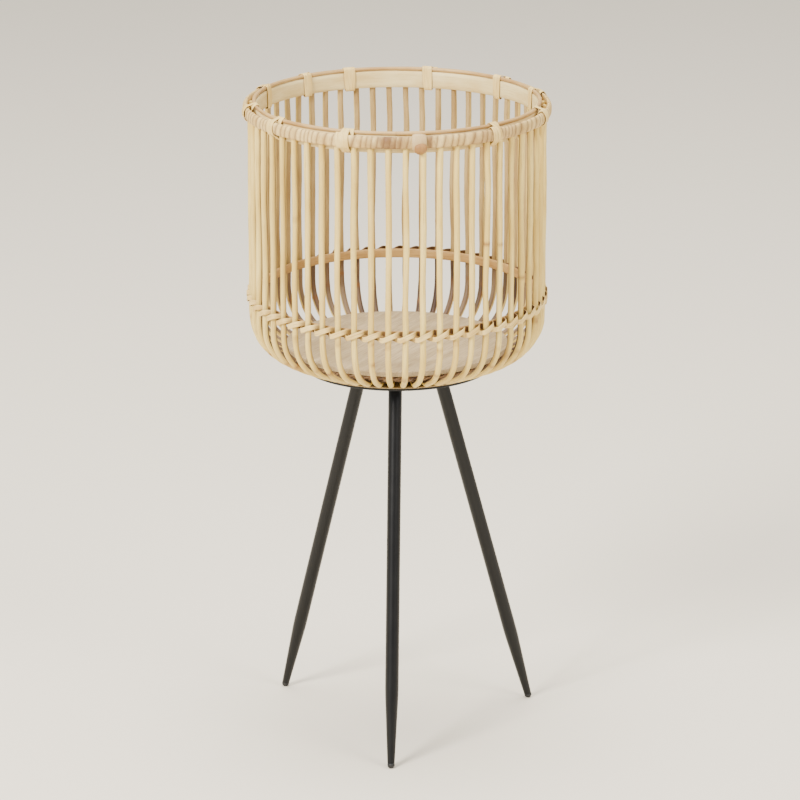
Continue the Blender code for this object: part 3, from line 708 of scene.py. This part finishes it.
# ---------------------------------------------------------------- lower hoop and twining
def build_hoop(material):
    count = 432
    section = flat_section(count, HOOP_HIGH - HOOP_LOW, HOOP_OUT - HOOP_IN)
    piece = ring("hoop_inside", (HOOP_IN + HOOP_OUT) / 2, (HOOP_LOW + HOOP_HIGH) / 2, section, material,
                 count, 23, layers={"shade": np.zeros(count)}, lift=0.0002, lean=BAND_LEAN)
    finish_piece(piece, "basket", "rattan_tan", "lower_hoop")


def ring_rows(bearing, radius, height):
    """Arrays of the points at those bearings, and of the ways outward there."""
    out = np.stack([np.sin(bearing), -np.cos(bearing), np.zeros_like(bearing)], axis=1)
    return out * np.broadcast_to(radius, bearing.shape)[:, None] + np.outer(height, (0, 0, 1)), out


def build_twine(letter, phase, material, seed):
    """A flat strand that passes outside one upright and inside the next, twisting round its partner."""
    per_stake = 12
    count = STAKES * per_stake
    step = np.arange(count) / per_stake
    turn = math.pi * step + phase
    rng = random.Random(seed)
    jitter = np.interp(step, np.arange(STAKES + 1), [rng.uniform(-1, 1) for _ in range(STAKES)] + [0])
    sway = (TWINE_OUT - TWINE_IN - TWINE_THICKNESS) / 2
    rise = (TWINE_HIGH - TWINE_LOW - TWINE_WIDTH) / 2
    bearing = STEP * (0.5 + step)
    level = (TWINE_HIGH + TWINE_LOW) / 2 - BAND_LEAN * np.cos(bearing)
    middle, out = ring_rows(bearing, (TWINE_OUT + TWINE_IN) / 2, level)
    swing = np.sin(math.pi / 2 * np.clip(1.4 * np.cos(turn), -1, 1))
    centres = middle + out * (sway * swing)[:, None]
    centres += np.outer(rise * np.sin(turn) + 0.08 * TWINE_WIDTH * jitter, (0, 0, 1))
    section = flat_section(count, TWINE_WIDTH, TWINE_THICKNESS)
    section[:, :, 0] *= (1 - 0.10 * (0.5 - 0.5 * np.cos(turn)) + 0.05 * jitter)[:, None]
    # painted shade where the strand turns in behind a cane
    shade = np.clip(-np.cos(turn) * 1.4 + 0.1, 0, 1)
    piece = sweep(f"twine_{letter}", centres, out, section, material, closed=True, seed=seed,
                  layers={"shade": shade})
    finish_piece(piece, "basket", "lashing_strip", f"twine_strand_{letter}")


# ---------------------------------------------------------------- base of the basket
def disc_profile(radius, low, high, edge, rounds=3):
    """(radius, height) points of a disc with rounded edges, from the middle of its underside to its top."""
    bend = np.linspace(0, math.pi / 2, rounds + 1)
    lower = [(radius - edge + edge * math.sin(a), low + edge - edge * math.cos(a)) for a in bend]
    upper = [(radius - edge + edge * math.cos(a), high - edge + edge * math.sin(a)) for a in bend]
    return [(0.0, low), (radius * 0.5, low)] + lower + upper + [(radius * 0.5, high), (0.0, high)]


def build_discs(paint, plywood, timber):
    plate = lathe("stand_plate", disc_profile(PLATE_RADIUS, PLATE_LOW, PLATE_TOP, 0.0006), 144, paint)
    finish_piece(plate, "basket", "black_paint", "base_plate")
    floor = lathe("basket_floor", disc_profile(FLOOR_RADIUS, FLOOR_LOW, FLOOR_TOP, 0.0005), 180, plywood)
    finish_piece(floor, "basket", "plywood", "floor_disc")
    radius, low, high = extent("base_disc")[1:]
    under = lathe("base_sheet", disc_profile(radius, low, high, 0.0003), 144, plywood)
    finish_piece(under, "basket", "plywood", "base_disc")
    radius, low, high = extent("base_core")[1:]
    core = lathe("base_block", disc_profile(radius, low, high, 0.0006), 120, timber)
    finish_piece(core, "basket", "timber", "base_core")


def build_base_twining(material):
    """Two rough brown strands that lie side by side on the canes' slope, under the floor disc."""
    rise = np.array([0.0, 0.0, 1.0])
    for name, shift, seed in BASE_ROWS:
        count = 720
        bearing = np.linspace(0, 2 * math.pi, count, endpoint=False)
        rough = wander(seed, 6, 0.4)(np.sin(bearing) * 7) * 0.0002
        middle, radial = ring_rows(bearing, BASE_TWINE_RADIUS, np.full_like(bearing, BASE_TWINE_LEVEL))
        out = radial * math.cos(TURN_ANGLE) - rise * math.sin(TURN_ANGLE)
        along_slope = radial * math.sin(TURN_ANGLE) + rise * math.cos(TURN_ANGLE)
        wave = 0.0003 * np.cos(STAKES / 2 * bearing + seed)
        centres = middle - out * (CANE + BASE_ROW_INSET + wave)[:, None]
        centres += along_slope * (shift + rough)[:, None]
        size = BASE_ROW_RADIUS * (1 + 0.15 * np.sin(37 * bearing + seed) + 0.1 * np.sin(91 * bearing))
        shade = np.clip(0.3 + 0.6 * np.sin(23 * bearing + seed) * np.sin(7 * bearing), 0, 1)
        piece = sweep("row_" + name, centres, -out, round_section(size, 10), material, closed=True,
                      seed=seed, layers={"shade": shade})
        finish_piece(piece, "basket", "rattan_brown", name)


def build_base_hoop(material):
    """Two rough brown canes twisted together, which fill the corner under the floor disc."""
    radius_in, radius_out, low, high = extent("base_hoop")
    middle_r, middle_z = (radius_in + radius_out) / 2, (low + high) / 2
    strand = (high - low) * 0.26
    pieces = []
    for number in range(2):
        count = 900
        turns = np.linspace(0, 2 * math.pi, count, endpoint=False)
        twist = 44 * turns + number * math.pi
        reach = (high - low) / 2 - strand
        centres, out = ring_rows(turns, middle_r + reach * np.cos(twist), middle_z + reach * np.sin(twist))
        size = strand * (1 + 0.10 * np.sin(61 * turns) + 0.08 * np.sin(143 * turns))
        shade = np.clip(0.5 + 0.5 * np.sin(29 * turns + 2 * number) * np.sin(11 * turns), 0, 1)
        piece = sweep(f"base_hoop_row_{number + 1}", centres, out, round_section(size, 10), material,
                      closed=True, seed=81 + number, layers={"shade": shade})
        pieces.append(finish_piece(piece, "basket", "rattan_brown"))
    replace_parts(pieces[0], "base_hoop")


# ---------------------------------------------------------------- legs and screws
def build_leg(number, joint, finishes):
    """The boss under the plate, and the leg that screws into it with its washer, stud and glide. The
    stud's thread is a stack of rings."""
    down = Vector(joint["axis"]).normalized()
    outer = Vector((down.x, down.y, 0.0)).normalized()
    up = -down
    side = up.cross(outer).normalized()
    axis = np.eye(4)
    axis[:3, 0], axis[:3, 1], axis[:3, 2] = side.cross(up), side, up
    axis[:3, 3] = joint["pos_m"]
    top_height = joint["pos_m"][2]

    def below(level, radius, turn):
        """Height along the axis at which a point of the turned piece meets a level plane."""
        return (level - top_height - radius * math.cos(turn) * axis[2, 0]) / axis[2, 2]

    def piece(name, outline, slot, body, node, steps=72, top=None, bottom=None):
        item = lathe(f"{name}_{number}", outline, steps, finishes[slot], axis, top, bottom)
        finish_piece(item, body, slot, f"{node}_{number}")

    low = WASHER_THICKNESS + 2 * GAP
    high = low + BOSS_LENGTH + BOSS_RADIUS
    boss = [(BOSS_HOLE, low), (BOSS_RADIUS - 0.0005, low), (BOSS_RADIUS - 0.00015, low + 0.00015),
            (BOSS_RADIUS, low + 0.0005), (BOSS_RADIUS, low + 0.0060), (BOSS_RADIUS, high), (BOSS_HOLE, high)]
    piece("boss", boss, "black_paint", "basket", "leg_boss",
          top=lambda r, a: below(PLATE_LOW - GAP, r, a))
    edge, face = 0.0002, GAP + WASHER_THICKNESS
    washer = [(BOSS_HOLE, GAP), (WASHER_RADIUS - edge, GAP), (WASHER_RADIUS, GAP + edge),
              (WASHER_RADIUS, face - edge), (WASHER_RADIUS - edge, face), (BOSS_HOLE, face)]
    piece("washer", washer, "black_nylon", f"washer_{number}", "leg_washer")
    bore = LEG_RADIUS - LEG_WALL
    plug = bore - CLEARANCE
    stud = [(0.0, -PLUG_LENGTH), (plug, -PLUG_LENGTH), (plug, 0.0)]
    count = int(STUD_LENGTH / PITCH * 4) - 2
    stud += [(STUD_RADIUS - THREAD_DEPTH * (i % 4 in (2, 3)), 0.0004 + i * PITCH / 4) for i in range(count)]
    stud += [(STUD_RADIUS - 0.0004, STUD_LENGTH), (0.0, STUD_LENGTH)]
    piece("stud", stud, "zinc_steel", f"leg_{number}", "leg_stud", steps=48)

    centre = (GLIDE_RADIUS - GLIDE_FLAT - top_height) / axis[2, 2]
    tip = centre + GLIDE_COLLAR + GAP
    knee = tip + TAPER
    tube = [(bore, 0.0), (LEG_RADIUS - 0.0005, 0.0), (LEG_RADIUS - 0.00012, -0.00012), (LEG_RADIUS, -0.0005)]
    tube += [(LEG_RADIUS, z) for z in np.linspace(-0.02, knee + 0.006, 12)]
    narrowing = LEG_RADIUS - TIP_RADIUS
    tube += [(LEG_RADIUS - narrowing * t, knee - TAPER * t) for t in np.linspace(0.04, 1, 12)]
    tube += [(TIP_RADIUS - LEG_WALL, tip), (bore, knee)]
    piece("leg", tube, "black_paint", f"leg_{number}", "leg_tube")

    collar, stem = centre + GLIDE_COLLAR, TIP_RADIUS - LEG_WALL - CLEARANCE
    bend = np.linspace(0, math.pi / 2, 10)
    glide = [(0.0, collar + GLIDE_STEM), (stem, collar + GLIDE_STEM), (stem, collar),
             (GLIDE_RADIUS - 0.0002, collar), (GLIDE_RADIUS, collar - 0.0003)]
    glide += [(GLIDE_RADIUS * math.cos(a), centre - GLIDE_RADIUS * math.sin(a)) for a in bend]
    piece("glide", glide, "black_plastic", f"leg_{number}", "foot_glide", steps=48,
          bottom=lambda r, a: below(0.0, r, a))


def build_screws(finish):
    """Pan-head screws, with a round dimple and ringed shanks, that hold the plate to the wooden block."""
    for number, bearing in enumerate(SCREW_BEARINGS):
        low, high = extent(f"basket_screw_{number + 1}")[2:]
        head, shank = SCREW_HEAD, SCREW_SHANK
        seat = low + SCREW_HEAD_HEIGHT
        outline = [(0.0, low + 0.0009), (0.0009, low + 0.0008), (0.0011, low + 0.00005), (0.0022, low),
                   (0.0032, low + 0.0004), (head - 0.0001, low + 0.0014), (head, seat), (shank, seat)]
        count = 34
        rise = (high - SCREW_POINT - seat) / count
        outline += [(shank - THREAD_DEPTH * (i % 3 != 1), seat + rise * i) for i in range(1, count)]
        outline += [(shank * 0.7, high - 0.0030), (0.0003, high - 0.0001), (0.0, high)]
        axis = np.eye(4)
        axis[:3, 3] = at(SCREW_CIRCLE, math.radians(bearing), 0.0)
        item = lathe(f"screw_{number + 1}", outline, 48, finish, axis)
        finish_piece(item, "basket", "zinc_steel", f"basket_screw_{number + 1}")


# ---------------------------------------------------------------- camera, light and floor
def build_stage():
    mesh = bpy.data.meshes.new("studio_floor")
    reach = 12.0
    corners = [(-reach, -reach, 0), (reach, -reach, 0), (reach, reach, 0), (-reach, reach, 0)]
    mesh.from_pydata(corners, [], [(0, 1, 2, 3)])
    mesh.materials.append(floor_material())
    floor = bpy.data.objects.new("studio_floor", mesh)
    bpy.context.scene.collection.objects.link(floor)


def add_light(name, place, target, size, energy, colour):
    data = bpy.data.lights.new(name, "AREA")
    data.shape = "DISK"
    data.size = size
    data.energy = energy
    data.color = colour
    lamp = bpy.data.objects.new(name, data)
    lamp.location = place
    lamp.rotation_euler = (Vector(target) - Vector(place)).to_track_quat("-Z", "Y").to_euler()
    bpy.context.scene.collection.objects.link(lamp)


def build_lights():
    target = (0, 0, 0.4)
    add_light("key_left", (-2.2, -2.6, 2.6), target, 1.3, 300, (1.0, 0.98, 0.95))
    add_light("key_right", (2.4, -2.2, 2.4), target, 1.8, 95, (1.0, 0.98, 0.95))
    add_light("top_soft", (0.0, 0.4, 4.0), target, 3.0, 220, (1.0, 0.99, 0.97))
    world = bpy.data.worlds.new("studio")
    bpy.context.scene.world = world
    world.use_nodes = True
    world.node_tree.nodes["Background"].inputs["Color"].default_value = (0.98, 0.98, 1.0, 1.0)
    world.node_tree.nodes["Background"].inputs["Strength"].default_value = 0.7


def build_camera():
    data = bpy.data.cameras.new("camera")
    data.sensor_width = 36.0
    data.lens = 206.4
    data.clip_end = 100.0
    camera = bpy.data.objects.new("camera", data)
    camera.location = (0.0029, -4.5054, 1.7104)
    camera.rotation_euler = (math.radians(90 - 16.85), 0.0, 0.0)
    bpy.context.scene.collection.objects.link(camera)
    bpy.context.scene.camera = camera


def main():
    build_camera()
    build_lights()
    build_stage()
    cane = cane_material()
    # the back colours of the lashing and the twining are painted shade
    lash = strip_material("lashing", rgb(232, 204, 132), rgb(214, 180, 104), rgb(170, 132, 66),
                          painted_shade_back=rgb(130, 90, 48), groove=rgb(160, 116, 64))
    # the twining's groove colour is painted shade where a strand passes behind a cane
    woven = strip_material("twining", rgb(232, 202, 128), rgb(210, 174, 98), rgb(160, 122, 58),
                           painted_shade_back=rgb(92, 62, 36), groove=rgb(120, 86, 52))
    greyed = strip_material("knot_band", rgb(206, 178, 126), rgb(182, 150, 100), rgb(146, 110, 66),
                            groove=rgb(150, 120, 84))
    knot = strip_material("knot", rgb(172, 126, 68), rgb(144, 100, 50), rgb(106, 70, 34),
                          groove=rgb(126, 84, 46))
    bamboo = strip_material("bamboo", rgb(226, 204, 146), rgb(210, 182, 118), rgb(184, 150, 88))
    top = strip_material("rim_cane_skin", rgb(190, 156, 98), rgb(166, 128, 74), rgb(126, 90, 48))
    tan = strip_material("hoop_skin", rgb(196, 156, 92), rgb(174, 132, 72), rgb(132, 94, 48))
    brown = strip_material("brown_cane", rgb(98, 70, 44), rgb(68, 46, 28), rgb(38, 26, 16),
                           groove=rgb(136, 104, 66))
    paint = paint_material()

    for number, node in enumerate(STAKE_PAIRS):
        cane_pair(number, node, cane)
    build_outer_band(wrap_material())
    build_inner_band(bamboo)
    build_top_cane(top)
    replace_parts(build_lashing(lash), "rim_lashing")
    build_knot(greyed, knot)
    build_hoop(tan)
    build_twine("a", 0.0, woven, 71)
    build_twine("b", math.pi, woven, 72)
    build_discs(paint, plywood_material(), timber_material())
    build_base_hoop(brown)
    build_base_twining(brown)

    steel = steel_material()
    finishes = {
        "black_paint": paint,
        "zinc_steel": steel,
        "black_nylon": plastic_material("nylon_washer", 44),
        "black_plastic": plastic_material("glide_plastic", 30),
    }
    joints = {joint["name"]: joint for joint in frame["record"]["behaviour"]["joints"]}
    for number in (1, 2, 3):
        build_leg(number, joints[f"leg_{number}_unscrew"], finishes)
    build_screws(steel)


main()
